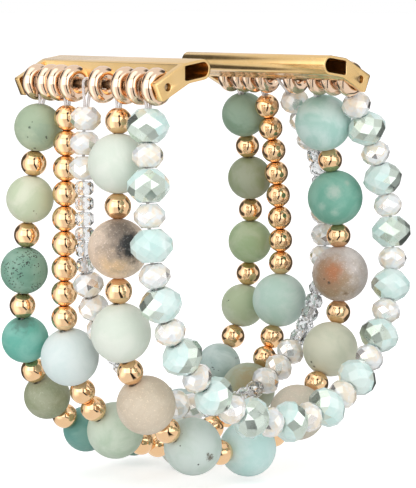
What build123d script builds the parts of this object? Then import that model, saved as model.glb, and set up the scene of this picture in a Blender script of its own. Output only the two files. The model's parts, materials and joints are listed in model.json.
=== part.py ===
from build123d import *
from math import acos, asin, atan, atan2, cos, hypot, pi, radians, sin, tan
import os

# A bead watch band: five strands of round beads on clear elastic cords.
# Each cord is looped round a cross pin at both ends. Gold rings fill the pins between
# the cords, and each pin runs through the ears of a slide-in adapter.
#
# Frame: millimetres, +Z up. X runs along the pins, Y from the near pin to the far pin.
# The origin is the point on the wrist's underside where the lower beads bear on it.

# Bead sizes: diameter across the cord, and the flat rim round the mouth of the bore.
# Cut beads have a length of their own, and round ones are as long as their rim leaves them.
GOLD_DIAMETER, GOLD_RIM = 4.1, 0.05
SMALL_STONE_DIAMETER, SMALL_STONE_RIM = 7.5, 0.12
LARGE_STONE_DIAMETER, LARGE_STONE_RIM = 9.2, 0.46
AQUA_DIAMETER, AQUA_LENGTH, AQUA_RIM = 6.6, 4.9, 0.55
OPAL_DIAMETER, OPAL_LENGTH, OPAL_RIM = 4.8, 3.55, 0.26
SEED_DIAMETER, SEED_LENGTH, SEED_RIM = 3.1, 2.12, 0.08
BORE_DIAMETER = 1.2
BEAD_GAP = 0.25

# Cords, pins and rings
CORD_DIAMETER = 0.5
CORD_CLEARANCE = 0.04
TAIL_LENGTH = 1.6
PIN_SPACING = 44.0
PIN_DIAMETER = 1.1
RING_TUBE = 2.2
RING_CLEARANCE = 0.08
RING_SIDE_GAP = 0.1
RING_TO_BEAD = 0.66

# Adapters: a hollow foot that slides into the watch, two arms and two ears
FOOT_THICKNESS = 3.15
FOOT_DEPTH = 6.6
FOOT_REACH = 9.1
FOOT_RISE = 2.45
FOOT_TILT = 8.0
FOOT_WALL = 0.45
ARM_WIDTH = 3.1
ARM_TAIL = 1.9
EAR_THICKNESS = 1.1
EAR_SIDE_GAP = 0.2
EAR_CORNER = 0.3
ROOT_FILLET = 2.5
HOLE_CLEARANCE = 0.05
PIN_INSET = 0.5
FOOT_RING_GAP = 0.3

# Where each strand sits on the pins, how far it swells past them, and its sideways lean
SAGE_X, SAGE_NEAR_SWELL, SAGE_FAR_SWELL, SAGE_LEAN = -11.45, 2.3, 5.9, -5.0
GOLD_X, GOLD_NEAR_SWELL, GOLD_FAR_SWELL, GOLD_LEAN = -6.05, 0.5, 5.7, -1.0
OPAL_X, OPAL_NEAR_SWELL, OPAL_FAR_SWELL, OPAL_LEAN = -1.65, 1.4, 10.4, 1.9
STONE_X, STONE_NEAR_SWELL, STONE_FAR_SWELL, STONE_LEAN = 5.5, 1.1, 6.2, 1.6
AQUA_X, AQUA_NEAR_SWELL, AQUA_FAR_SWELL, AQUA_LEAN = 11.9, 2.4, 9.0, 7.2

# How many beads of each strand make up its near and far side runs, which move when the band stretches
SAGE_RUNS, GOLD_RUNS, OPAL_RUNS, STONE_RUNS, AQUA_RUNS = (4, 5), (7, 7), (5, 5), (4, 4), (4, 5)

# Counts of flat faces: round beads are many-sided so that 150 of them stay light
GOLD_SIDES, GOLD_BANDS, GOLD_BORE_SIDES = 6, 3, 5
SMALL_STONE_SIDES, SMALL_STONE_BANDS = 8, 4
LARGE_STONE_SIDES, LARGE_STONE_BANDS = 9, 4
AQUA_SIDES, OPAL_SIDES, SEED_SIDES = 7, 6, 6
BORE_SIDES, CORD_SIDES, EYE_STEPS = 4, 3, 5
RING_SIDES = 8

# How much of its length the belt of a cut aqua bead takes up
AQUA_BELT_SHARE = 0.22

# Worked out from the sizes above
cord_radius = CORD_DIAMETER / 2
pin_radius = PIN_DIAMETER / 2
half_spacing = PIN_SPACING / 2
run_offset = cord_radius + CORD_CLEARANCE / 2
eye_radius = pin_radius + CORD_CLEARANCE + cord_radius
ring_hole = (pin_radius + RING_CLEARANCE) / cos(pi / RING_SIDES)
ring_radius = ring_hole + RING_TUBE
ring_room = ring_radius + FOOT_RING_GAP
mouth = ring_radius + RING_TO_BEAD


def flank(lean):
    """From a strand's cord to the middle of the ring beside it, which the lean has to clear."""
    ridge = ring_hole + RING_TUBE / 2
    return RING_TUBE / 2 + RING_SIDE_GAP + cord_radius / cos(radians(lean)) + ridge * tan(radians(abs(lean)))


ear_inner = AQUA_X + flank(AQUA_LEAN) + RING_TUBE / 2 + EAR_SIDE_GAP
ear_outer = ear_inner + EAR_THICKNESS


# Beads
def polygon_at(radius, height, sides):
    angles = [(i + 0.5) * 2 * pi / sides for i in range(sides)]
    return [Vector(radius * cos(a), radius * sin(a), height) for a in angles]


def band(lower, upper):
    """Flat faces between two rings of points that turn the same way."""
    count = len(lower)
    loops = [(lower[i], lower[(i + 1) % count], upper[(i + 1) % count], upper[i]) for i in range(count)]
    return [Face(Wire.make_polygon(loop)) for loop in loops]


def bore_corner(bore_sides):
    return BORE_DIAMETER / 2 / cos(pi / bore_sides)


def end_radius(rim, sides, bore_sides):
    return (bore_corner(bore_sides) + rim) / cos(pi / sides)


def bead(profile, sides, bore_sides):
    """A bead from (height, radius) levels, with flat ends round a straight bore."""
    rings = [polygon_at(radius, height, sides) for height, radius in profile]
    ends = (rings[0], rings[-1])
    bores = [polygon_at(bore_corner(bore_sides), ring[0].Z, bore_sides) for ring in ends]
    faces = [face for lower, upper in zip(rings, rings[1:]) for face in band(lower, upper)]
    faces += band(*bores)
    faces += [Face(Wire.make_polygon(ring), [Wire.make_polygon(bore)]) for ring, bore in zip(ends, bores)]
    return Solid(Shell(faces))


class Kind:
    def __init__(self, diameter, length, solid):
        self.diameter, self.length, self.solid = diameter, length, solid


def ball(diameter, rim, sides, bands, bore_sides=BORE_SIDES):
    """A round bead, cut flat where its bore comes out."""
    radius = diameter / 2
    end = acos(end_radius(rim, sides, bore_sides) / radius)
    angles = [end * (2 * i / bands - 1) for i in range(bands + 1)]
    profile = [(radius * sin(a), radius * cos(a)) for a in angles]
    return Kind(diameter, 2 * radius * sin(end), bead(profile, sides, bore_sides))


def crystal(diameter, length, rim, sides, belt_share=0.0):
    """A cut bead that narrows from its belt, or from its middle, to both ends."""
    end = (length / 2, end_radius(rim, sides, BORE_SIDES))
    belt = (length / 2 * belt_share, diameter / 2)
    upper = [belt, end]
    lower = [(-height, radius) for height, radius in reversed(upper)]
    profile = lower + upper if belt_share else lower + upper[1:]
    return Kind(diameter, length, bead(profile, sides, BORE_SIDES))


GOLD = ball(GOLD_DIAMETER, GOLD_RIM, GOLD_SIDES, GOLD_BANDS, GOLD_BORE_SIDES)
SMALL = ball(SMALL_STONE_DIAMETER, SMALL_STONE_RIM, SMALL_STONE_SIDES, SMALL_STONE_BANDS)
LARGE = ball(LARGE_STONE_DIAMETER, LARGE_STONE_RIM, LARGE_STONE_SIDES, LARGE_STONE_BANDS)
AQUA = crystal(AQUA_DIAMETER, AQUA_LENGTH, AQUA_RIM, AQUA_SIDES, AQUA_BELT_SHARE)
OPAL = crystal(OPAL_DIAMETER, OPAL_LENGTH, OPAL_RIM, OPAL_SIDES)
SEED = crystal(SEED_DIAMETER, SEED_LENGTH, SEED_RIM, SEED_SIDES)

# Strand orders, from the near pin to the far pin
SAGE_ORDER = [SMALL, GOLD] * 12 + [SMALL]
GOLD_ORDER = [GOLD] * 9 + [LARGE, GOLD, GOLD] * 4 + [LARGE] + [GOLD] * 8
OPAL_ORDER = ([OPAL] * 3 + [SEED] * 6) * 4 + [OPAL] * 3 + [SEED] * 4 + [OPAL] * 3
STONE_ORDER = [GOLD, LARGE] * 11
AQUA_ORDER = [AQUA, OPAL] * 15


# Strand routes
def side_arc(swell, drop):
    """Turn (radians) and radius of the arc from a bead mouth down to the widest level."""
    turn = 0.0
    for _ in range(60):
        turn = 2 * atan((swell - mouth * sin(turn)) / (drop - mouth * cos(turn)))
    return turn, (drop - mouth * cos(turn)) / sin(turn)


class Strand:
    """One loop: a straight lead, a side arc, half a circle, a side arc, a straight lead."""

    def __init__(self, name, order, runs, x, near_swell, far_swell, lean):
        self.name, self.order, self.runs, self.x, self.lean = name, order, runs, x, lean
        self.radius = half_spacing + (near_swell + far_swell) / 2
        beads = sum(kind.length + BEAD_GAP for kind in order) - BEAD_GAP
        low, high = mouth, beads
        for _ in range(60):
            drop = (low + high) / 2
            self.near, self.far = side_arc(near_swell, drop), side_arc(far_swell, drop)
            arcs = self.near[0] * self.near[1] + self.far[0] * self.far[1] + pi * self.radius
            low, high = (drop, high) if arcs < beads else (low, drop)
        self.depth = drop + self.radius

    def inner_depth(self):
        return self.depth - max(kind.diameter for kind in self.order) / 2

    def plane(self):
        tilt = radians(self.lean)
        return Plane((self.x, 0, pin_height), x_dir=(0, 1, 0), z_dir=(cos(tilt), 0, sin(tilt)))


STRANDS = [
    Strand("sage", SAGE_ORDER, SAGE_RUNS, SAGE_X, SAGE_NEAR_SWELL, SAGE_FAR_SWELL, SAGE_LEAN),
    Strand("gold", GOLD_ORDER, GOLD_RUNS, GOLD_X, GOLD_NEAR_SWELL, GOLD_FAR_SWELL, GOLD_LEAN),
    Strand("opal", OPAL_ORDER, OPAL_RUNS, OPAL_X, OPAL_NEAR_SWELL, OPAL_FAR_SWELL, OPAL_LEAN),
    Strand("stone", STONE_ORDER, STONE_RUNS, STONE_X, STONE_NEAR_SWELL, STONE_FAR_SWELL, STONE_LEAN),
    Strand("aqua", AQUA_ORDER, AQUA_RUNS, AQUA_X, AQUA_NEAR_SWELL, AQUA_FAR_SWELL, AQUA_LEAN),
]
pin_height = min(strand.inner_depth() for strand in STRANDS)


def arc_on(edge, radius, degrees_left):
    """An arc that carries on from an edge, turning left for positive degrees."""
    return JernArc(edge @ 1, edge % 1, radius, degrees_left)


def bead_line(strand):
    """The middle line of the beads, in the strand's own plane, from mouth to mouth."""
    near_turn, near_radius = strand.near
    far_turn, far_radius = strand.far
    heading = Vector(-sin(near_turn), -cos(near_turn))
    start = Vector(-half_spacing, 0) + heading * mouth
    first = JernArc(start, heading, abs(near_radius), near_turn * 180 / pi)
    bottom = arc_on(first, strand.radius, 180)
    return Wire([first, bottom, arc_on(bottom, abs(far_radius), far_turn * 180 / pi)])


# Cords
def side_of(heading):
    """The direction square to a heading, out of the loop."""
    return Vector(heading.Y, -heading.X)


def cord_end(pin_x, down, inward):
    """Corners of one end, in the strand's plane: out of the end bead and round the pin."""
    centre = Vector(pin_x, 0)
    inner = inward * run_offset
    spread = asin(eye_radius / hypot(mouth, run_offset)) - atan2(run_offset, mouth)
    half_wrap = pi / 2 + spread
    reach = eye_radius / cos(half_wrap / EYE_STEPS)
    angles = [half_wrap * (1 - (2 * i + 1) / EYE_STEPS) for i in range(EYE_STEPS)]
    tail = [centre + down * (mouth + TAIL_LENGTH) + inner, centre + down * mouth + inner]
    return tail + [centre + (inward * sin(a) - down * cos(a)) * reach for a in angles]


def cord_corners(strand):
    """The whole cord: it runs straight through each bead and bends between them."""
    line = bead_line(strand)
    places, place = [0.0], -BEAD_GAP / 2
    for kind in strand.order:
        place += kind.length + BEAD_GAP
        places.append(min(place, line.length))
    run = []
    for place in places:
        at = line.position_at(place, position_mode=PositionMode.LENGTH)
        heading = line.tangent_at(place, position_mode=PositionMode.LENGTH)
        run.append(at + side_of(heading) * run_offset)
    near = cord_end(-half_spacing, line % 0, side_of(line % 0) * -1)
    far = cord_end(half_spacing, (line % 1) * -1, side_of(line % 1) * -1)
    return near + run + far[::-1]


def cord(strand):
    """A thin tube of flat faces, with a mitred ring of points at each corner."""
    corners, up = cord_corners(strand), Vector(0, 0, 1)
    steps = [(after - here).normalized() for here, after in zip(corners, corners[1:])]
    rings = []
    for here, before, after in zip(corners, steps[:1] + steps, steps + steps[-1:]):
        middle = (before + after).normalized()
        across = side_of(middle) * (-cord_radius / middle.dot(after))
        turns = [2 * pi * i / CORD_SIDES for i in range(CORD_SIDES)]
        rings.append([here + across * cos(a) + up * (cord_radius * sin(a)) for a in turns])
    faces = [face for lower, upper in zip(rings, rings[1:]) for face in band(lower, upper)]
    faces += [Face(Wire.make_polygon(ring)) for ring in (rings[0], rings[-1])]
    tube = Solid(Shell(faces))
    length = sum((after - here).length for here, after in zip(corners, corners[1:]))
    section = CORD_SIDES / 2 * cord_radius**2 * sin(2 * pi / CORD_SIDES)
    print(f"{strand.name}_cord: length {length:.1f}, volume to section times length",
          f"{tube.volume / (section * length):.4f}")
    return strand.plane().location * tube


def beads_of(strand):
    """The strand's beads, placed one after another, as (kind, run, solid)."""
    line, plane = bead_line(strand), strand.plane().location
    near_count, far_count = strand.runs
    place, found = 0.0, []
    for number, kind in enumerate(strand.order):
        spot = line.location_at(place + kind.length / 2, position_mode=PositionMode.LENGTH)
        run = "near" if number < near_count else "low"
        run = "far" if number >= len(strand.order) - far_count else run
        found.append((kind, run, plane * spot * kind.solid))
        place += kind.length + BEAD_GAP
    return found


BEAD_NAMES = {
    "sage": {SMALL: "stones", GOLD: "gold"},
    "gold": {GOLD: "beads", LARGE: "stones"},
    "opal": {OPAL: "opals", SEED: "seeds"},
    "stone": {LARGE: "stones", GOLD: "gold"},
    "aqua": {AQUA: "aquas", OPAL: "opals"},
}


def bead_nodes(strand):
    nodes = {}
    for kind, run, solid in beads_of(strand):
        node = f"{strand.name}_{run}_{BEAD_NAMES[strand.name][kind]}"
        nodes.setdefault(node, []).append(solid)
    return {node: Compound(children=solids) for node, solids in nodes.items()}


# Spacer rings
def spacer_ring():
    """A round ring, flat where it turns on the pin, its axis along X."""
    side, middle = RING_TUBE / 2, ring_hole + RING_TUBE / 2
    section = [(-side, middle), (-side / 2, ring_hole), (side / 2, ring_hole),
               (side, middle), (side / 2, ring_radius), (-side / 2, ring_radius)]
    rings = [polygon_at(radius, height, RING_SIDES) for height, radius in section]
    faces = [face for i, ring in enumerate(rings) for face in band(ring, rings[(i + 1) % len(rings)])]
    return Rot(0, 90, 0) * Solid(Shell(faces))


def ring_places():
    """Rings stand on both sides of a cord, with one between the third and fourth."""
    sage, gold, aqua = flank(SAGE_LEAN), flank(GOLD_LEAN), flank(AQUA_LEAN)
    flanked = [SAGE_X - sage, SAGE_X + sage, GOLD_X - gold, GOLD_X + gold]
    flanked += [STONE_X + flank(STONE_LEAN), AQUA_X - aqua, AQUA_X + aqua]
    return sorted(flanked + [(OPAL_X + STONE_X) / 2])


# Pins and adapters, drawn about the pin's axis with the foot towards +Y
def pin():
    length = 2 * (ear_outer - PIN_INSET)
    return Rot(0, 90, 0) * Cylinder(pin_radius, length)


def foot_slot(wall):
    """The foot's section, with its round nose away from the pin, or the space inside its wall."""
    nose = Pos(FOOT_REACH - FOOT_THICKNESS / 2, FOOT_RISE) * Rot(0, 0, FOOT_TILT)
    middle = Pos((FOOT_THICKNESS - FOOT_DEPTH) / 2, 0)
    return nose * middle * SlotOverall(FOOT_DEPTH - 2 * wall, FOOT_THICKNESS - 2 * wall)


def side_profile():
    """Foot and arm as seen along the pin: the arm widens from a square ear to the foot's heel."""
    shank = FOOT_DEPTH - FOOT_THICKNESS
    heel = Vector(FOOT_REACH - FOOT_THICKNESS / 2, FOOT_RISE) - Vector(shank, 0).rotate(Axis.Z, FOOT_TILT)
    along = Rot(0, 0, atan2(heel.Y, heel.X) * 180 / pi)
    rounds = [Pos(heel.X, heel.Y) * Circle(FOOT_THICKNESS / 2)]
    for way in (-1, 1):
        corner = along * Pos(EAR_CORNER - ARM_TAIL, way * (ARM_WIDTH / 2 - EAR_CORNER))
        rounds.append(corner * Circle(EAR_CORNER))
    profile = foot_slot(0) + make_hull([edge for ring in rounds for edge in ring.edges()])
    root = [v for v in profile.vertices() if v.Y < heel.Y and v.X > heel.X - FOOT_THICKNESS / 2]
    root = [v for v in root if v.X < FOOT_REACH - FOOT_THICKNESS]
    return fillet(root[:1], ROOT_FILLET) if root else profile


def foot_hollow():
    """The foot is hollow, with a straight wall on the side of the rings."""
    wall_side = Rectangle(2 * FOOT_REACH, 2 * FOOT_REACH, align=(Align.MAX, Align.CENTER))
    return foot_slot(FOOT_WALL) - Pos(ring_room + FOOT_WALL, 0) * wall_side


def adapter():
    body = extrude(Plane.YZ * (side_profile() - foot_hollow()), ear_outer, both=True)
    room = Box(2 * ear_inner, 2 * ring_room, 4 * ring_room, align=(Align.CENTER, Align.MAX, Align.CENTER))
    body -= Pos(0, ring_room, 0) * room
    return body - Rot(0, 90, 0) * Cylinder(pin_radius + HOLE_CLEARANCE, 4 * ear_outer)


def main():
    os.makedirs("parts", exist_ok=True)
    nodes = {}
    near, far = Pos(0, -half_spacing, pin_height), Pos(0, half_spacing, pin_height)
    turned = far * Rot(0, 0, 180)
    nodes["near_adapter"], nodes["far_adapter"] = near * adapter(), turned * adapter()
    nodes["near_pin"], nodes["far_pin"] = near * pin(), far * pin()
    ring = spacer_ring()
    for number, x in enumerate(ring_places(), 1):
        nodes[f"near_ring_{number}"] = near * Pos(x, 0, 0) * ring
        nodes[f"far_ring_{number}"] = far * Pos(x, 0, 0) * ring
    for strand in STRANDS:
        nodes.update(bead_nodes(strand))
        nodes[f"{strand.name}_cord"] = cord(strand)
    for name, shape in nodes.items():
        shape.label = name
        export_step(shape, f"parts/{name}.step", write_pcurves=False)
    print(f"{len(nodes)} nodes, pins {pin_height:.2f} above the wrist, ears {2 * ear_outer:.2f} wide")


main()
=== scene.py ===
import json
import math
import random

import bmesh
import bpy
from mathutils import Matrix, Vector

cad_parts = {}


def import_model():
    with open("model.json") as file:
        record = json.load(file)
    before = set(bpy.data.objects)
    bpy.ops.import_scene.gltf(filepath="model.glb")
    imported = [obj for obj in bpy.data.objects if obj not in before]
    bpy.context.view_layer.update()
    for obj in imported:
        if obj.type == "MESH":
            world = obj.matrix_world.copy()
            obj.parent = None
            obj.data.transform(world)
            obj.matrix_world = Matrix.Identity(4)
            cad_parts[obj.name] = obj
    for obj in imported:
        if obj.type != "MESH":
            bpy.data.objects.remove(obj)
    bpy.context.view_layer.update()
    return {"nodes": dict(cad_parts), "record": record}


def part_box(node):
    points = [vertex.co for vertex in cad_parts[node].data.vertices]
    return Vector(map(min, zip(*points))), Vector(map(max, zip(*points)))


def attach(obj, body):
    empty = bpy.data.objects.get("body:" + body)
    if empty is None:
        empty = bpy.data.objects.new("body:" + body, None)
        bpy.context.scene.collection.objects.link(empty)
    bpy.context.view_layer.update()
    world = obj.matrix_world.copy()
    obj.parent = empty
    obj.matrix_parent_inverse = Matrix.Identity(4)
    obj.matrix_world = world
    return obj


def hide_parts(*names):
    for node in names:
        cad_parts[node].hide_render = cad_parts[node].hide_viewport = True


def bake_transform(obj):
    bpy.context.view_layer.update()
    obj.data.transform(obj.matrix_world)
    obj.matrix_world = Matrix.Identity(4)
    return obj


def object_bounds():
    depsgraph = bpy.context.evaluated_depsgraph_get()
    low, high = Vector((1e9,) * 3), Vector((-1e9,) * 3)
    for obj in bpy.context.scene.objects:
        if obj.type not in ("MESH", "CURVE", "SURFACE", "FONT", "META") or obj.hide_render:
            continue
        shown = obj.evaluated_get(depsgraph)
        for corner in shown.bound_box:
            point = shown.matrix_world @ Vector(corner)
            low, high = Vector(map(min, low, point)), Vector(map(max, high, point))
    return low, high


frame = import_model()
MM = 0.001


# Adapters: each is one satin gold plated metal piece. A hollow rounded foot slides into the
# watch, and two arms end in flat ears that are drilled for the cross pin.
# All its edges are broken, as after tumbling.
ADAPTER_EDGE, ADAPTER_EDGE_STEPS = 0.09 * MM, 2
ADAPTER_FLAT_DEGREES, ADAPTER_CORNER_DEGREES, ADAPTER_SHARP_DEGREES = 1, 40, 32
WELD = 0.0005 * MM


def add_object(name, data):
    added = bpy.data.objects.new(name, data)
    bpy.context.scene.collection.objects.link(added)
    return added


def mesh_data(name, mesh):
    """A mesh for an object, made of a bmesh that is then done with."""
    data = bpy.data.meshes.new(name)
    mesh.to_mesh(data)
    mesh.free()
    return data


def finish_mesh(name, mesh, materials, body, nodes, sharp_degrees=None):
    """Makes a piece of a bmesh, gives it its finish and ties it to its body."""
    data = mesh_data(name, mesh)
    for material in materials:
        data.materials.append(material)
    if sharp_degrees is not None:
        data.shade_smooth()
        data.set_sharp_from_angle(angle=math.radians(sharp_degrees))
    piece = add_object(name, data)
    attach(piece, body)
    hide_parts(*nodes)


def feed(tree, node, values):
    """Gives a node's inputs, by name or number, fixed values or the outputs of other nodes."""
    for label, value in values.items():
        if hasattr(value, "is_linked"):
            tree.links.new(value, node.inputs[label])
        else:
            node.inputs[label].default_value = value
    return node


def new_group(name, inputs, outputs, kind="NodeSocketFloat"):
    """An empty node group with named inputs of one kind and named outputs that are numbers."""
    group = bpy.data.node_groups.new(name, "ShaderNodeTree")
    for label in inputs:
        group.interface.new_socket(name=label, in_out="INPUT", socket_type=kind)
    for label in outputs:
        group.interface.new_socket(name=label, in_out="OUTPUT", socket_type="NodeSocketFloat")
    return group, group.nodes.new("NodeGroupInput").outputs, group.nodes.new("NodeGroupOutput")


def use_group(tree, group, values):
    node = tree.nodes.new("ShaderNodeGroup")
    node.node_tree = group
    return feed(tree, node, values).outputs


def own_place(tree):
    """Where each point is in the object's own coordinates."""
    return tree.nodes.new("ShaderNodeTexCoord").outputs["Object"]


def noise(tree, place, scale, detail=2.0, **more):
    node = tree.nodes.new("ShaderNodeTexNoise")
    return feed(tree, node, {"Vector": place, "Scale": scale, "Detail": detail, **more}).outputs


def ramp(tree, value, low, high, first=0.0, last=1.0, smooth=True):
    """A number that goes from first to last while the value goes from low to high."""
    span = tree.nodes.new("ShaderNodeMapRange")
    if smooth:
        span.interpolation_type = "SMOOTHSTEP"
    return feed(tree, span, {"Value": value, "From Min": low, "From Max": high,
                             "To Min": first, "To Max": last}).outputs["Result"]


def cloud_group():
    """Soft uneven patches, from 0 to 1. Low and High set how hard their edges are."""
    group, given, made = new_group("soft_patches", ("Scale", "Low", "High"), ("Mask",))
    clouds = noise(group, own_place(group), given["Scale"], detail=6, Roughness=0.62,
                   Distortion=0.5)
    feed(group, made, {"Mask": ramp(group, clouds["Fac"], given["Low"], given["High"])})
    return group


SOFT_PATCHES = cloud_group()


def patches(tree, scale, low, high):
    return use_group(tree, SOFT_PATCHES, {"Scale": scale, "Low": low, "High": high})["Mask"]


def mixed(tree, mask, first, second, kind="RGBA"):
    """A colour or number that goes from the first to the second as the mask goes from 0 to 1."""
    mix = tree.nodes.new("ShaderNodeMix")
    mix.data_type = kind
    return feed(tree, mix, {"A": first, "B": second, "Factor": mask}).outputs["Result"]


def bumped(tree, shader, height, depth):
    bump = feed(tree, tree.nodes.new("ShaderNodeBump"), {"Distance": depth, "Height": height})
    tree.links.new(bump.outputs["Normal"], shader.inputs["Normal"])


def new_material(name):
    material = bpy.data.materials.new(name)
    material.use_nodes = True
    return material, material.node_tree, material.node_tree.nodes["Principled BSDF"]


def plated(name, colour, rubbed, roughness, grain_scale=2600, grain_depth=0.003 * MM,
           stretch=(1, 1, 1)):
    """Metal: a second tone and duller places in patches, over a fine drawn or tumbled grain."""
    material, tree, shader = new_material(name)
    tone = patches(tree, scale=420, low=0.2, high=0.8)
    dull = patches(tree, scale=900, low=0.2, high=0.8)
    feed(tree, shader, {
        "Metallic": 1,
        "Base Color": mixed(tree, tone, (*colour, 1), (*rubbed, 1)),
        "Roughness": ramp(tree, dull, 0, 1, *roughness, smooth=False),
    })
    mapping = feed(tree, tree.nodes.new("ShaderNodeMapping"),
                   {"Vector": own_place(tree), "Scale": stretch})
    grain = noise(tree, mapping.outputs["Vector"], grain_scale, detail=3)
    bumped(tree, shader, grain["Fac"], grain_depth)
    return material


satin_gold = plated("satin_gold", (0.86, 0.57, 0.24), (0.89, 0.62, 0.30), roughness=(0.18, 0.26),
                    grain_scale=5200, grain_depth=0.006 * MM, stretch=(0.06, 1, 1))


def welded(node):
    """A CAD node's triangles, joined up at their corners."""
    mesh = bmesh.new()
    mesh.from_mesh(frame["nodes"][node].data)
    bmesh.ops.remove_doubles(mesh, verts=mesh.verts, dist=WELD)
    return mesh


for side in ("near", "far"):
    blank = welded(f"{side}_adapter")
    bmesh.ops.dissolve_limit(blank, angle_limit=math.radians(ADAPTER_FLAT_DEGREES),
                             verts=blank.verts, edges=blank.edges)
    corners = [edge for edge in blank.edges if edge.is_manifold
               and edge.calc_face_angle() > math.radians(ADAPTER_CORNER_DEGREES)]
    bmesh.ops.bevel(blank, geom=corners, offset=ADAPTER_EDGE, segments=ADAPTER_EDGE_STEPS,
                    affect="EDGES", profile=0.5, material=-1, clamp_overlap=True)
    finish_mesh(f"{side}_adapter_plated", blank, [satin_gold], f"{side}_adapter",
                [f"{side}_adapter"], ADAPTER_SHARP_DEGREES)


# Cross pins: drawn wire pins, one through the ears of each adapter, pressed in a little below
# the ears' outer faces. Their ends are turned with a small chamfer.
PIN_CHAMFER = 0.16 * MM
PIN_SIDES, PIN_SHARP_DEGREES = 32, 30
ALONG_PIN = Matrix.Rotation(math.pi / 2, 4, "Y")

# The wire's dark brown is painted shade. It stands in for the dark of the holes in the ears where
# the pins sit.
drawn_wire = plated("drawn_wire", (0.34, 0.26, 0.18), (0.42, 0.34, 0.25), roughness=(0.24, 0.4),
                    grain_scale=7000, grain_depth=0.01 * MM, stretch=(0.05, 1, 1))


def lathe(profile, sides):
    """A closed outline of (radius, height) points turned once round Z."""
    mesh = bmesh.new()
    points = [mesh.verts.new((radius, 0, height)) for radius, height in profile]
    edges = [mesh.edges.new(pair) for pair in zip(points, points[1:] + points[:1])]
    bmesh.ops.spin(mesh, geom=points + edges, cent=(0, 0, 0), axis=(0, 0, 1), dvec=(0, 0, 0),
                   angle=math.tau, steps=sides, use_merge=True, use_duplicate=False)
    bmesh.ops.remove_doubles(mesh, verts=mesh.verts, dist=WELD)
    bmesh.ops.recalc_face_normals(mesh, faces=mesh.faces)
    return mesh


def placed(mesh, matrix):
    mesh.transform(matrix)
    mesh.normal_update()
    return mesh


for side in ("near", "far"):
    low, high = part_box(f"{side}_pin")
    radius, half = (high.z - low.z) / 2, (high.x - low.x) / 2
    outline = [(0, half), (radius - PIN_CHAMFER, half), (radius, half - PIN_CHAMFER),
               (radius, PIN_CHAMFER - half), (radius - PIN_CHAMFER, -half), (0, -half)]
    wire = placed(lathe(outline, PIN_SIDES), Matrix.Translation((low + high) / 2) @ ALONG_PIN)
    finish_mesh(f"{side}_pin_wire", wire, [drawn_wire], f"{side}_run",
                [f"{side}_pin"], PIN_SHARP_DEGREES)


# Spacer rings: plump rose gold plated rings strung on the pins between the cords. They are
# turned from rod with a rounded outside, a flat bore, and polished before plating.
RINGS_ON_PIN = 8
RING_ARC_STEPS, RING_SIDES, RING_SHARP_DEGREES = 15, 48, 50
# How much of the ring's width its flat bore takes
RING_BORE_LAND = 0.5

rose_gold = plated("rose_gold", (0.90, 0.64, 0.45), (0.93, 0.70, 0.53), roughness=(0.06, 0.13))


def ring_outline(hole, outside, width):
    """A round section whose inner side is cut flat for the pin."""
    tube, middle = width / 2, (hole + outside) / 2
    cut = math.asin(RING_BORE_LAND)
    angles = [cut - math.pi / 2 + (math.tau - 2 * cut) * i / RING_ARC_STEPS
              for i in range(RING_ARC_STEPS + 1)]
    return [(middle + (outside - hole) / 2 * math.sin(a), -tube * math.cos(a)) for a in angles]


for side in ("near", "far"):
    pin_low, pin_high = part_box(f"{side}_pin")
    axis_y, axis_z = (pin_low.y + pin_high.y) / 2, (pin_low.z + pin_high.z) / 2
    for number in range(1, RINGS_ON_PIN + 1):
        node = f"{side}_ring_{number}"
        corners = [vertex.co for vertex in frame["nodes"][node].data.vertices]
        spans = [math.hypot(c.y - axis_y, c.z - axis_z) for c in corners]
        low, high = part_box(node)
        middle = Vector(((low.x + high.x) / 2, axis_y, axis_z))
        outline = ring_outline(min(spans), max(spans), high.x - low.x)
        ring = placed(lathe(outline, RING_SIDES), Matrix.Translation(middle) @ ALONG_PIN)
        finish_mesh(f"{node}_polished", ring, [rose_gold], node, [node],
                    RING_SHARP_DEGREES)


# Cords: clear elastic, one for each strand. It runs through every bead, goes round the cross
# pin at each end and comes back into the end bead, where it is knotted and glued.
STRANDS = ("sage", "gold", "opal", "stone", "aqua")
CORD_RADIUS = 0.25 * MM

clear_elastic, tree, shader = new_material("clear_elastic")
haze = patches(tree, scale=260, low=0.35, high=0.65)
feed(tree, shader, {"Base Color": mixed(tree, haze, (0.97, 0.90, 0.88, 1), (0.95, 0.93, 0.93, 1)),
                    "Roughness": 0.16, "IOR": 1.45, "Transmission Weight": 0.45})


def bead_solids(node):
    """The corner points of each separate solid in a CAD node."""
    mesh = welded(node)
    left, found = set(mesh.verts), []
    while left:
        waiting, group = [left.pop()], []
        while waiting:
            vertex = waiting.pop()
            group.append(vertex.co.copy())
            for edge in vertex.link_edges:
                other = edge.other_vert(vertex)
                if other in left:
                    left.remove(other)
                    waiting.append(other)
        found.append(group)
    mesh.free()
    return found


def cord_centres(node):
    """The middle of each ring of corner points, in order along the CAD cord."""
    mesh = welded(node)
    cap = min(mesh.faces, key=lambda face: face.calc_perimeter())
    ring, seen, centres = set(cap.verts), set(), []
    while ring:
        seen |= ring
        centres.append(sum((v.co for v in ring), Vector()) / len(ring))
        ring = {e.other_vert(v) for v in ring for e in v.link_edges} - seen
    mesh.free()
    return centres


def break_point(strand, side, way):
    """Where a side's lowest bead leaves the strand's lower run when the band is stretched."""
    def middle(corners):
        return sum(corners, Vector()) / len(corners)

    solids = {run: [solid for node in frame["nodes"] if node.startswith(f"{strand}_{run}")
                    for solid in bead_solids(node)] for run in (side, "low")}
    above = min(solids[side], key=lambda s: min(c.z for c in s))
    below = max((s for s in solids["low"] if middle(s).y * way > 0),
                key=lambda s: max(c.z for c in s))
    height = (min(c.z for c in above) + max(c.z for c in below)) / 2
    low, high = middle(below), middle(above)
    return low.lerp(high, (height - low.z) / (high.z - low.z))


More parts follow.
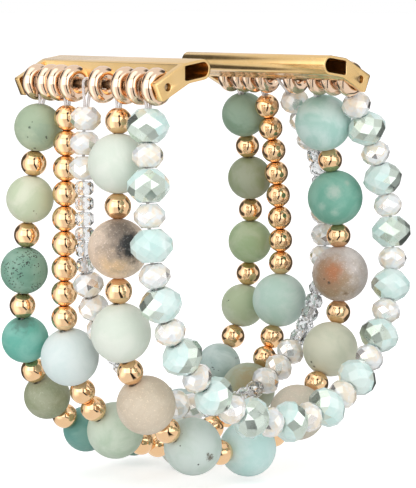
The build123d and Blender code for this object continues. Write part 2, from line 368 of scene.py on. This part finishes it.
for strand in STRANDS:
    route = cord_centres(f"{strand}_cord")
    curve = bpy.data.curves.new(f"{strand}_cord_line", "CURVE")
    curve.dimensions = "3D"
    line = curve.splines.new("NURBS")
    line.points.add(len(route) - 1)
    for point, place in zip(line.points, route):
        point.co = (*place, 1)
    line.order_u, line.use_endpoint_u, line.resolution_u = 3, True, 3
    curve.bevel_depth, curve.bevel_resolution, curve.use_fill_caps = CORD_RADIUS, 2, True
    drawn = add_object(f"{strand}_cord_drawn", curve)
    swept = drawn.evaluated_get(bpy.context.evaluated_depsgraph_get())
    tube = bmesh.new()
    tube.from_mesh(bpy.data.meshes.new_from_object(swept))
    bpy.data.objects.remove(drawn)
    bmesh.ops.remove_doubles(tube, verts=tube.verts, dist=WELD)
    data = mesh_data(f"{strand}_elastic", tube)
    data.shade_smooth()
    data.materials.append(clear_elastic)
    piece = add_object(f"{strand}_elastic", data)
    # The points on both sides where the strand leaves its lower run when the band is stretched.
    near_break, far_break = break_point(strand, "near", -1), break_point(strand, "far", 1)
    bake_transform(piece)
    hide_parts(f"{strand}_cord")


# Gold beads: hollow seamless brass balls, gold plated and polished, with a bore straight
# through. One sits between each two stones, and they fill the sides of the second strand.
BORE_RADIUS = 0.6 * MM
GOLD_ARC_STEPS, GOLD_SIDES, GOLD_SHARP_DEGREES = 16, 28, 40
GOLD_LIP = 0.05 * MM
# The middle of a mouth's rounding, out from the bore and in from the end, as shares of the lip
MOUTH_MIDDLE = (0.3, 0.2)
# A bead's corner points this far out along its axis are those of its ends
END_SHARE = 0.93

polished_gold = plated("polished_gold", (0.92, 0.59, 0.32), (0.94, 0.64, 0.38),
                       roughness=(0.04, 0.10))


class Bead:
    """Where a CAD bead is, along which axis it is strung, and how large it is."""

    def __init__(self, node, corners):
        self.node, self.corners = node, corners
        self.centre = sum(corners, Vector()) / len(corners)
        self.axis = Vector((0, 0, 1))

    def measure(self):
        offsets = [c - self.centre for c in self.corners]
        along = [abs(o.dot(self.axis)) for o in offsets]
        across = [(o - self.axis * o.dot(self.axis)).length for o in offsets]
        self.half = max(along)
        ends = [r for h, r in zip(along, across) if h > self.half * END_SHARE]
        self.radius, self.rim, self.bore = max(across), max(ends), min(ends)

    def matrix(self, roll):
        turn = self.axis.to_track_quat("Z", "Y").to_matrix().to_4x4()
        return Matrix.Translation(self.centre) @ turn @ Matrix.Rotation(roll, 4, "Z")


def strung(strand):
    """The strand's beads from the near pin to the far pin, each turned along the strand."""
    nodes = [n for n in frame["nodes"] if n.startswith(f"{strand}_") and not n.endswith("cord")]
    beads = [Bead(node, corners) for node in nodes for corners in bead_solids(node)]
    level = sum((b.centre.z for b in beads)) / len(beads)
    beads.sort(key=lambda b: math.atan2(b.centre.y, level - b.centre.z))
    for number, bead in enumerate(beads):
        before, after = beads[max(number - 1, 0)], beads[min(number + 1, len(beads) - 1)]
        back, ahead = bead.centre - before.centre, after.centre - bead.centre
        steps = [step / step.length_squared for step in (back, ahead) if step.length > 0]
        bead.axis = sum(steps, Vector()).normalized()
        bead.measure()
        bead.strand, bead.number = strand, number
    return beads


BEADS = {strand: strung(strand) for strand in STRANDS}


def body_of(node):
    bodies = frame["record"]["behaviour"]["bodies"]
    return next(body for body, members in bodies.items() if node in members)


def string_up(suffix, kinds, make, looks_of, sharp_degrees=None):
    """One piece for each CAD node of the named kinds, with a bead at each place."""
    for strand, kind in kinds:
        for node in [n for n in frame["nodes"] if n.startswith(strand) and n.endswith(kind)]:
            joined, materials = bmesh.new(), []
            for bead in [b for b in BEADS[strand] if b.node == node]:
                roll = random.Random(f"{strand}{bead.number}").uniform(0, math.tau)
                single = mesh_data("bead", make(bead, bead.matrix(roll)))
                old_faces = len(joined.faces)
                joined.from_mesh(single)
                bpy.data.meshes.remove(single)
                looks = looks_of(bead)
                materials += [look for look in looks if look not in materials]
                joined.faces.ensure_lookup_table()
                for face in joined.faces[old_faces:]:
                    face.material_index = materials.index(looks[face.material_index])
            finish_mesh(f"{node}_{suffix}", joined, materials, body_of(node), [node],
                        sharp_degrees)


def ball(bead, matrix, arc_steps, lip, sides):
    """A round bead: its section is the arc, a softened mouth at each end and the bore."""
    radius = math.hypot(bead.half, bead.rim)
    end = math.acos((BORE_RADIUS + lip) / radius)
    angles = [end * (2 * i / arc_steps - 1) for i in range(arc_steps + 1)]
    arc = [(radius * math.cos(a), radius * math.sin(a)) for a in angles]
    top, (out, inward) = arc[-1][1], MOUTH_MIDDLE
    mouth = [(BORE_RADIUS + lip * out, top - lip * inward), (BORE_RADIUS, top - lip)]
    outline = [(r, -h) for r, h in reversed(mouth)] + arc + mouth
    return placed(lathe(outline, sides), matrix)


def gold_ball(bead, matrix):
    return ball(bead, matrix, GOLD_ARC_STEPS, GOLD_LIP, GOLD_SIDES)


string_up("polished", (("sage", "gold"), ("gold", "beads"), ("stone", "gold")), gold_ball,
          lambda bead: [polished_gold], GOLD_SHARP_DEGREES)


# Stones: matte ground mineral beads in greens, creams and browns, no two alike. Each is a
# ground ball with a drilled bore, left frosted, with clouds, dark specks or a darker patch.
STONE_ARC_STEPS, STONE_SIDES, STONE_SHARP_DEGREES = 24, 48, 50
STONE_LIP = 0.12 * MM
SPECK_SCALE, FLECK_SCALE = 2300, 900
SPECK_SIZE, SPECK_EDGE, SPECK_CROWDING = 0.36, 0.1, 0.08
SPECK_SHIFT = 0.6 * MM
# How many times brighter the grains are than the stone round them, before grain is added
GRAIN_GAIN = 1.25
# A mark's outline is ragged from clouds, this many to its radius
MARK_WANDER = 1.6
# Rightwards and away in the picture, level with the table
RIGHT, AWAY = Vector((0.71, 0.70, 0)), Vector((-0.70, 0.71, 0))
STONES = {
    "sage": ("sage cream_green teal turquoise olive deep_teal teal mist_blue mist_blue moss leaf "
             "fern jade").split(),
    "gold": "ice pale_green pearl khaki seafoam".split(),
    "stone": ("mist_green tan mist_green beige few_specks pale_aqua taupe grey_cream rusty_mauve "
              "mottled_teal sea_blue").split(),
}


def stone_name(bead):
    stones = [b.number for b in BEADS[bead.strand] if b.node.endswith("stones")]
    return STONES[bead.strand][stones.index(bead.number)]


CARRIERS = {stone_name(bead): bead for strand in STONES for bead in BEADS[strand]
            if bead.node.endswith("stones")}


def maths(tree, operation, *values):
    """The result of a calculation on numbers that are fixed or linked."""
    node = tree.nodes.new("ShaderNodeMath")
    node.operation = operation
    return feed(tree, node, dict(enumerate(values))).outputs["Value"]


def vector_maths(tree, operation, *values, output="Vector"):
    """The same on vectors or colours."""
    node = tree.nodes.new("ShaderNodeVectorMath")
    node.operation = operation
    return feed(tree, node, dict(enumerate(values))).outputs[output]


def speck_group():
    """Small ragged marks, from 0 to 1, crowded in a few places and absent in others."""
    group, given, made = new_group("scattered_specks", ("Scale", "Spread"), ("Mask",))
    place, spread = own_place(group), given["Spread"]
    warp = noise(group, place, scale=2600)["Color"]
    shifted = vector_maths(group, "MULTIPLY_ADD", warp, (SPECK_SHIFT,) * 3, place)
    cells = feed(group, group.nodes.new("ShaderNodeTexVoronoi"),
                 {"Vector": shifted, "Scale": given["Scale"]})
    crowd = ramp(group, noise(group, place, scale=300, detail=3)["Fac"],
                 maths(group, "SUBTRACT", spread, SPECK_CROWDING), spread, 1, 0, smooth=False)
    size = maths(group, "MULTIPLY", crowd, SPECK_SIZE)
    inside = maths(group, "SUBTRACT", size, cells.outputs["Distance"])
    feed(group, made, {"Mask": ramp(group, inside, 0, SPECK_EDGE, smooth=False)})
    return group


SPECKS = speck_group()


def mark(tree, name, across, up, size, softness, ragged):
    """1 inside a patch on the stone's front: rightwards, up and size are shares of its radius."""
    bead = CARRIERS[name]
    radius = math.hypot(bead.half, bead.rim)
    middle = RIGHT * across - AWAY * math.sqrt(1 - across**2 - up**2) + Vector((0, 0, up))
    away = vector_maths(tree, "DISTANCE", own_place(tree),
                        bead.centre + middle.normalized() * radius, output="Value")
    wander = patches(tree, scale=MARK_WANDER / (size * radius), low=0.25, high=0.75)
    uneven = maths(tree, "MULTIPLY_ADD", wander, ragged * size * radius, away)
    edge = size * radius * (1 + ragged / 2)
    return ramp(tree, uneven, edge * (1 - softness), edge * (1 + softness), 1, 0)


def mineral(name, main, cloud, marks=(), ink=(0.05, 0.06, 0.05), speck=0.0, fleck=0.0, grain=0.0):
    """A frosted stone: a main colour, clouds of a second one, its own marks, specks and grain.

    Each mark is how far across and up it is, its size, softness and raggedness, and its colour.
    """
    material, tree, shader = new_material(f"stone_{name}")
    clouds = patches(tree, scale=190, low=0.38, high=0.62)
    colour = mixed(tree, clouds, (*main, 1), (*cloud, 1))
    for *where, tint in marks:
        colour = mixed(tree, mark(tree, name, *where), colour, (*tint, 1))
    if grain:
        grains = patches(tree, scale=3600, low=0.55, high=0.68)
        paler = vector_maths(tree, "MULTIPLY_ADD", colour, (GRAIN_GAIN,) * 3, (grain,) * 3)
        colour = mixed(tree, grains, colour, paler)
    for scale, spread in ((SPECK_SCALE, speck), (FLECK_SCALE, fleck)):
        if spread:
            dots = use_group(tree, SPECKS, {"Scale": scale, "Spread": spread})["Mask"]
            colour = mixed(tree, dots, colour, (*ink, 1))
    worn = patches(tree, scale=700, low=0.3, high=0.7)
    feed(tree, shader, {
        "Base Color": colour,
        "Roughness": ramp(tree, worn, 0, 1, 0.48, 0.6, smooth=False),
        "Subsurface Weight": 0.25, "Subsurface Radius": (0.9, 1.0, 0.95),
        "Subsurface Scale": 1.2 * MM,
    })
    bumped(tree, shader, patches(tree, scale=6500, low=0.2, high=0.8), 0.015 * MM)
    return material


MINERALS = {look.name.removeprefix("stone_"): look for look in (
    mineral("sage", (0.36, 0.45, 0.31), (0.47, 0.54, 0.39), [
        (-0.3, 0.05, 0.05, 0.3, 1.0, (0.05, 0.07, 0.05)),
        (-0.18, 0.28, 0.025, 0.3, 1.0, (0.10, 0.12, 0.09)),
        (-0.38, -0.35, 0.03, 0.3, 1.0, (0.10, 0.12, 0.09)),
        (0.35, -0.20, 0.45, 0.6, 0.8, (0.30, 0.40, 0.29)),
    ], speck=0.40),
    mineral("cream_green", (0.54, 0.61, 0.43), (0.66, 0.69, 0.54), [
        (0.22, -0.42, 0.03, 0.3, 0.8, (0.16, 0.16, 0.08)),
        (0.32, -0.55, 0.02, 0.3, 0.8, (0.20, 0.20, 0.10)),
    ], speck=0.33),
    mineral("teal", (0.15, 0.31, 0.23), (0.26, 0.42, 0.33), ink=(0.03, 0.05, 0.04), speck=0.54),
    mineral("turquoise", (0.12, 0.41, 0.33), (0.22, 0.50, 0.42), [
        (-0.1, 0.8, 0.4, 0.5, 1.0, (0.10, 0.24, 0.20)),
    ], speck=0.36),
    mineral("olive", (0.28, 0.31, 0.19), (0.37, 0.39, 0.27), ink=(0.15, 0.17, 0.10), speck=0.40,
            grain=0.03),
    mineral("deep_teal", (0.12, 0.33, 0.29), (0.20, 0.40, 0.35)),
    mineral("mist_blue", (0.40, 0.52, 0.50), (0.56, 0.66, 0.64), ink=(0.07, 0.09, 0.10),
            speck=0.44, fleck=0.43),
    mineral("moss", (0.43, 0.51, 0.33), (0.53, 0.59, 0.44), speck=0.35),
    mineral("leaf", (0.34, 0.45, 0.25), (0.44, 0.52, 0.34)),
    mineral("fern", (0.27, 0.32, 0.18), (0.36, 0.39, 0.28)),
    mineral("jade", (0.22, 0.33, 0.23), (0.31, 0.43, 0.33)),
    mineral("ice", (0.66, 0.76, 0.75), (0.72, 0.80, 0.79)),
    mineral("pale_green", (0.50, 0.62, 0.48), (0.61, 0.70, 0.58)),
    mineral("mist_green", (0.67, 0.73, 0.64), (0.73, 0.77, 0.69)),
    mineral("pearl", (0.72, 0.77, 0.70), (0.78, 0.81, 0.75)),
    mineral("few_specks", (0.51, 0.61, 0.55), (0.59, 0.67, 0.63), [
        (0.60, -0.23, 0.10, 0.4, 1.6, (0.12, 0.10, 0.07)),
        (0.52, -0.10, 0.05, 0.4, 1.4, (0.14, 0.13, 0.10)),
        (0.19, -0.45, 0.03, 0.3, 0.6, (0.03, 0.03, 0.03)),
        (-0.43, 0.20, 0.025, 0.3, 0.8, (0.10, 0.12, 0.10)),
    ], speck=0.33),
    # The stone at the bottom of the stone strand is the sea blue stone painted paler. This is
    # painted light, standing in for the fill light that reaches the bottom of the band.
    mineral("pale_aqua", (0.54, 0.76, 0.73), (0.66, 0.83, 0.81)),
    mineral("seafoam", (0.48, 0.66, 0.58), (0.60, 0.73, 0.67)),
    mineral("sea_blue", (0.39, 0.62, 0.56), (0.57, 0.73, 0.69)),
    mineral("khaki", (0.34, 0.38, 0.27), (0.42, 0.46, 0.36), [
        (0.05, 0.45, 0.55, 0.5, 0.9, (0.37, 0.31, 0.17)),
    ]),
    mineral("tan", (0.66, 0.50, 0.37), (0.82, 0.67, 0.54), [
        (-0.05, -0.50, 0.42, 0.8, 0.8, (0.74, 0.51, 0.28)),
        (0.20, 0.35, 0.80, 0.6, 0.9, (0.33, 0.26, 0.20)),
        (0.10, 0.80, 0.45, 0.6, 0.9, (0.18, 0.14, 0.11)),
        (0.50, 0.18, 0.46, 0.4, 0.9, (0.03, 0.03, 0.03)),
    ], speck=0.36, grain=0.15),
    mineral("beige", (0.60, 0.50, 0.38), (0.67, 0.58, 0.46), ink=(0.30, 0.22, 0.14), speck=0.30,
            grain=0.03),
    mineral("taupe", (0.56, 0.52, 0.42), (0.64, 0.56, 0.46), [
        (0.15, 0.12, 0.03, 0.3, 0.8, (0.05, 0.04, 0.03)),
        (0.62, 0.10, 0.04, 0.3, 0.8, (0.30, 0.18, 0.10)),
    ], grain=0.01),
    mineral("grey_cream", (0.56, 0.58, 0.45), (0.64, 0.64, 0.51), [
        (-0.72, -0.38, 0.04, 0.3, 1.0, (0.08, 0.08, 0.06)),
        (-0.62, -0.55, 0.05, 0.3, 1.4, (0.16, 0.15, 0.11)),
    ], speck=0.34),
    mineral("rusty_mauve", (0.50, 0.44, 0.41), (0.66, 0.60, 0.57), [
        (-0.35, -0.30, 0.75, 0.5, 0.9, (0.37, 0.27, 0.17)),
        (-0.55, 0.05, 0.60, 0.5, 0.9, (0.36, 0.22, 0.13)),
        (-0.32, 0.18, 0.26, 0.8, 0.9, (0.44, 0.17, 0.07)),
        (-0.45, -0.22, 0.05, 0.4, 1.5, (0.10, 0.07, 0.05)),
        (-0.62, -0.10, 0.03, 0.4, 1.2, (0.12, 0.08, 0.05)),
        (0.15, -0.62, 0.07, 0.5, 1.5, (0.22, 0.14, 0.08)),
    ], speck=0.30, grain=0.11),
    mineral("mottled_teal", (0.15, 0.39, 0.30), (0.24, 0.47, 0.38), [
        (-0.10, 0.30, 0.22, 0.6, 0.7, (0.40, 0.52, 0.45)),
        (-0.53, -0.25, 0.12, 0.7, 0.8, (0.34, 0.52, 0.44)),
        (-0.07, -0.47, 0.12, 0.7, 0.8, (0.34, 0.52, 0.44)),
        (0.39, 0.59, 0.09, 0.7, 0.8, (0.36, 0.50, 0.42)),
    ]),
)}


def stone_ball(bead, matrix):
    return ball(bead, matrix, STONE_ARC_STEPS, STONE_LIP, STONE_SIDES)


string_up("ground", (("sage", "stones"), ("gold", "stones"), ("stone", "stones")), stone_ball,
          lambda bead: [MINERALS[stone_name(bead)]], STONE_SHARP_DEGREES)


# Aqua beads: machine cut glass, milky blue-green, with one side mirror coated so that its
# facets show silver and olive. Diamond facets run round it in rows, and it bulges like a pill.
CUT_SIDES, CUT_ROWS = 8, (0.30, 0.68)
CUT_ROUNDS, CUT_FLAT_DEGREES = 60, 2
# A facet is coated if the cosine between it and the way the coated side faces is above this
COATED_TO = 0.50
# Which way each bead's coated side faces, in degrees to the right of the way to the camera
COAT_TURNS = (-30, 0, 150, -60, 60, 60, 10, 60, -60, 100, -40, -100, 25, 60, 0)
# Facets whose middle is farther out than this many times the end's rim are on the outside
PAST_RIM = 1.02


def cut_bead(bead, sides, rows):
    """Rows of flat diamonds from the belt to both ends, round a straight bore."""
    half_step = math.pi / sides
    lean = math.cos(half_step)
    heights = [0.0] + [bead.half * share for share in rows] + [bead.half]
    radii = [bead.radius] + [bead.radius] * len(rows) + [bead.rim]
    # Each row is moved out until its diamonds lie flat between the rows beside it.
    for _ in range(CUT_ROUNDS):
        for i in range(1, len(radii) - 1):
            share = (heights[i] - heights[i - 1]) / (heights[i + 1] - heights[i - 1])
            radii[i] = (radii[i - 1] + (radii[i + 1] - radii[i - 1]) * share) / lean
    mesh = bmesh.new()
    for way in (1, -1):
        for level, (radius, height) in enumerate(zip(radii, heights)):
            for i in range(sides if level or way > 0 else 0):
                a = half_step * (2 * i + level % 2)
                mesh.verts.new((radius * math.cos(a), radius * math.sin(a), way * height))
    bmesh.ops.convex_hull(mesh, input=mesh.verts)
    bmesh.ops.dissolve_limit(mesh, angle_limit=math.radians(CUT_FLAT_DEGREES),
                             verts=mesh.verts, edges=mesh.edges)
    ends = sorted(mesh.faces, key=lambda f: abs(f.normal.z))[-2:]
    bmesh.ops.inset_individual(mesh, faces=ends, thickness=bead.rim * lean - bead.bore)
    rims = [e for f in ends for e in f.edges]
    bmesh.ops.delete(mesh, geom=ends, context="FACES_ONLY")
    bmesh.ops.bridge_loops(mesh, edges=rims)
    bmesh.ops.recalc_face_normals(mesh, faces=mesh.faces)
    return mesh


def cut_glass(name, light, deep, clear, milk=0.0, ior=1.5, cloud_scale=330, coat=0.0,
              coat_ior=1.5):
    """Polished cut glass, cloudy inside where it is milky."""
    material, tree, shader = new_material(name)
    clouds = patches(tree, scale=cloud_scale, low=0.38, high=0.62)
    dull = patches(tree, scale=1200, low=0.3, high=0.8)
    feed(tree, shader, {
        "Base Color": mixed(tree, clouds, (*light, 1), (*deep, 1)),
        "Roughness": ramp(tree, dull, 0, 1, 0.02, 0.07, smooth=False),
        "IOR": ior, "Transmission Weight": clear, "Subsurface Weight": milk,
        "Subsurface Radius": (0.9, 1.0, 1.0), "Subsurface Scale": 1.5 * MM,
        "Coat Weight": coat, "Coat IOR": coat_ior,
    })
    return material


aqua_glass = cut_glass("aqua_glass", (0.80, 0.96, 0.91), (0.68, 0.90, 0.86), clear=0.2, milk=0.4,
                       ior=1.7)
mirror_coat = plated("mirror_coat", (0.62, 0.70, 0.60), (0.70, 0.79, 0.73),
                     roughness=(0.24, 0.34), grain_depth=0.002 * MM)


def facing(face, turn, least):
    """1 for a facet that faces a way, given as a turn to the right of the way to the camera."""
    way = RIGHT * math.sin(turn) - AWAY * math.cos(turn)
    return int(face.normal.dot(way) > least)


def aqua_bead(bead, matrix):
    cut = cut_bead(bead, CUT_SIDES, CUT_ROWS)
    outer = [f for f in cut.faces if f.calc_center_median().xy.length > bead.rim * PAST_RIM]
    placed(cut, matrix)
    turn = math.radians(COAT_TURNS[bead.number // 2])
    for face in outer:
        face.material_index = facing(face, turn, COATED_TO)
    return cut


string_up("cut", (("aqua", "aquas"),), aqua_bead, lambda bead: [aqua_glass, mirror_coat])


# Opal beads: smaller machine cut glass beads, milky white with peach and bluish clouds. A few
# facets of each carry a thin pearl coating that flashes white.
PEARL_TO = 0.90
# How far to each side of the way to the camera the pearl facets may face, in radians
PEARL_TURN = 1.2

opal_glass = cut_glass("opal_glass", (1.0, 0.85, 0.68), (0.91, 0.95, 0.98), clear=0.18, milk=0.4,
                       ior=1.6, cloud_scale=420, coat=1, coat_ior=1.9)
pearl_coat = plated("pearl_coat", (0.97, 0.90, 0.82), (0.92, 0.93, 0.95),
                    roughness=(0.20, 0.28), grain_depth=0.002 * MM)


def opal_bead(bead, matrix):
    cut = placed(cut_bead(bead, CUT_SIDES, CUT_ROWS), matrix)
    turn = random.Random(f"pearl {bead.strand} {bead.number}").uniform(-PEARL_TURN, PEARL_TURN)
    for face in cut.faces:
        face.material_index = facing(face, turn, PEARL_TO)
    return cut


string_up("cut", (("opal", "opals"), ("aqua", "opals")), opal_bead,
          lambda bead: [opal_glass, pearl_coat])


# Seeds: the smallest beads, short six-sided pieces of colourless glass with sheared facets,
# in four runs of six and one of four on the third strand.
SEED_SIDES, SEED_ROWS = 6, (0.62,)

seed_glass = cut_glass("seed_glass", (0.99, 0.99, 0.99), (0.95, 0.97, 0.98), clear=0.97)


def seed_bead(bead, matrix):
    return placed(cut_bead(bead, SEED_SIDES, SEED_ROWS), matrix)


string_up("cut", (("opal", "seeds"),), seed_bead, lambda bead: [seed_glass])


# The set: a white table and surround with soft lamps, and the camera where the photograph was
# taken from. Towards the camera the surround has a dark gap, as between two screens, and a
# dark screen stands behind on each side, so that polished gold and glass show their shape.
CAMERA_AZIMUTH, CAMERA_ELEVATION, CAMERA_DISTANCE = 44.56, 6.37, 369.9 * MM
PICTURE_HEIGHT, FOCAL_PIXELS = 488, 2295.6
TARGET_LEFT, TARGET_DOWN = 12.7, 4.2
PIN_TO_TARGET = 27.0 * MM
# Name, azimuth, elevation, distance, size and watts
LAMPS = (("lamp_front", 18, 9, 0.60, 0.68, 1.60), ("lamp_right", 85, 9, 0.60, 0.64, 1.45),
         ("lamp_above", 10, 66, 0.50, 0.42, 0.45))
PLAIN_LIGHT, TABLE_GLOW = 0.75, 0.5
TABLE_HALF, TABLE_DROP = 6, 0.02 * MM
TABLE_GREY, TABLE_ROUGHNESS = 0.82, 0.8

scene = bpy.context.scene
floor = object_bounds()[0].z
pin_low, pin_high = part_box("near_pin")
target = Vector((0, 0, (pin_low.z + pin_high.z) / 2 - PIN_TO_TARGET))


def aimed(name, data, azimuth, elevation, distance):
    """A camera or lamp that faces the band; azimuth 0 is the near side and 90 the right."""
    a, e = math.radians(azimuth), math.radians(elevation)
    outward = Vector((math.sin(a) * math.cos(e), -math.cos(a) * math.cos(e), math.sin(e)))
    stand = add_object(name, data)
    stand.location = target + outward * distance
    stand.rotation_euler = (-outward).to_track_quat("-Z", "Y").to_euler()
    return stand


camera = bpy.data.cameras.new("camera")
camera.lens = FOCAL_PIXELS * camera.sensor_width / PICTURE_HEIGHT
camera.shift_x, camera.shift_y = TARGET_LEFT / PICTURE_HEIGHT, TARGET_DOWN / PICTURE_HEIGHT
camera.clip_start, camera.clip_end = 0.01, 20
scene.camera = aimed("camera", camera, CAMERA_AZIMUTH, CAMERA_ELEVATION, CAMERA_DISTANCE)

for name, azimuth, elevation, distance, size, watts in LAMPS:
    light = bpy.data.lights.new(name, "AREA")
    light.shape, light.size, light.energy = "SQUARE", size, watts
    aimed(name, light, azimuth, elevation, distance)

# The surround's soft edges: each is where it begins and ends, as the rightward, away or upward
# part of a direction of length 1. In the picture the camera is at away -1.
GAP_RIGHT, GAP_SIDE, GAP_TOP, GAP_BACK = 0.12, (0.10, 0.19), (0.70, 0.90), (-0.15, 0.05)
SCREEN_INSIDE, SCREEN_OUTSIDE = (0.42, 0.52), (0.90, 0.96)
SCREEN_FRONT, SCREEN_TOP = (0.0, 0.2), (0.55, 0.8)
SOFTBOX_SIDE, SOFTBOX_BACK, SOFTBOX_TOP = (-0.75, -0.45), (-0.3, -0.05), (0.5, 0.75)
CLEAR_SIDE, CLEAR_FRONT = (0.25, 0.6), (-0.2, 0.3)
# How bright each part of it is
GAP_LIGHT, WALL_LIGHT, SCREEN_LIGHT, SOFTBOX_LIGHT = 0.03, 0.9, 0.10, 0.7
CLEAR_SIDE_LIGHT, CLEAR_FRONT_LIGHT = 0.75, 0.85


def studio_group():
    """How bright the surround looks, in a direction, to polished metal and to clear glass."""
    group, given, made = new_group("studio_surround", ("Direction",), ("Polished", "Clear"),
                                   "NodeSocketVector")

    def times(first, second):
        return maths(group, "MULTIPLY", first, second)

    def past(value, edge):
        return ramp(group, value, *edge)

    def before(value, edge, most=1):
        return ramp(group, value, *edge, most, 0)

    turn = feed(group, group.nodes.new("ShaderNodeMapping"), {
        "Vector": given["Direction"], "Rotation": (0, 0, -math.radians(CAMERA_AZIMUTH))})
    even = vector_maths(group, "NORMALIZE", turn.outputs["Vector"])
    split = feed(group, group.nodes.new("ShaderNodeSeparateXYZ"), {"Vector": even}).outputs
    right, away, height = split["X"], split["Y"], maths(group, "ABSOLUTE", split["Z"])
    sideways = maths(group, "ABSOLUTE", right)
    from_gap = maths(group, "ABSOLUTE", maths(group, "SUBTRACT", right, GAP_RIGHT))
    past_gap = maths(group, "MAXIMUM", past(height, GAP_TOP), past(away, GAP_BACK))
    wall = maths(group, "MAXIMUM", past(from_gap, GAP_SIDE), past_gap)
    screens = times(times(past(sideways, SCREEN_INSIDE), before(sideways, SCREEN_OUTSIDE)),
                    times(past(away, SCREEN_FRONT), before(height, SCREEN_TOP)))
    softbox = times(times(before(right, SOFTBOX_SIDE), before(away, SOFTBOX_BACK)),
                    before(height, SOFTBOX_TOP, SOFTBOX_LIGHT))
    polished = times(ramp(group, wall, 0, 1, GAP_LIGHT, WALL_LIGHT),
                     ramp(group, screens, 0, 1, 1, SCREEN_LIGHT))
    clear = times(ramp(group, sideways, *CLEAR_SIDE, 1, CLEAR_SIDE_LIGHT),
                  ramp(group, away, *CLEAR_FRONT, CLEAR_FRONT_LIGHT, 1))
    feed(group, made, {"Polished": maths(group, "ADD", polished, softbox), "Clear": clear})
    return group


STUDIO = studio_group()

mesh = bmesh.new()
bmesh.ops.create_grid(mesh, x_segments=1, y_segments=1, size=TABLE_HALF)
table = add_object("table", mesh_data("table", mesh))
table.location.z = floor - TABLE_DROP
white_table, tree, shader = new_material("white_table")
table.data.materials.append(white_table)
path = tree.nodes.new("ShaderNodeLightPath").outputs
glow = mixed(tree, path["Is Camera Ray"], 0.0, TABLE_GLOW, "FLOAT")
glow = mixed(tree, path["Is Transmission Ray"], glow, TABLE_GLOW, "FLOAT")
feed(tree, shader, {"Base Color": (TABLE_GREY, TABLE_GREY, TABLE_GREY, 1),
                    "Roughness": TABLE_ROUGHNESS, "Emission Color": (1, 1, 1, 1),
                    "Emission Strength": glow})
# To reflections the table is not a lit surface but a glowing sheet of painted light. It shows the
# surround's brightness, with the dark gap and screens.
from_band = vector_maths(tree, "SUBTRACT", own_place(tree),
                         (0, 0, target.z - table.location.z))
studio = use_group(tree, STUDIO, {"Direction": from_band})
mirrored = feed(tree, tree.nodes.new("ShaderNodeEmission"), {"Strength": studio["Polished"]})
either = feed(tree, tree.nodes.new("ShaderNodeMixShader"), {
    "Fac": path["Is Glossy Ray"], 1: shader.outputs["BSDF"], 2: mirrored.outputs["Emission"]})
feed(tree, tree.nodes["Material Output"], {"Surface": either.outputs["Shader"]})

world = bpy.data.worlds.new("surround")
world.use_nodes = True
scene.world = world
tree = world.node_tree
path = tree.nodes.new("ShaderNodeLightPath").outputs
sky = tree.nodes.new("ShaderNodeTexCoord").outputs["Generated"]
studio = use_group(tree, STUDIO, {"Direction": sky})
strength = mixed(tree, path["Is Glossy Ray"], PLAIN_LIGHT, studio["Polished"], "FLOAT")
through = maths(tree, "MINIMUM", path["Transmission Depth"], 1)
strength = mixed(tree, through, strength, studio["Clear"], "FLOAT")
strength = mixed(tree, path["Is Camera Ray"], strength, 1.0, "FLOAT")
feed(tree, tree.nodes["Background"], {"Color": (1, 1, 1, 1), "Strength": strength})

scene.view_settings.view_transform = "Standard"
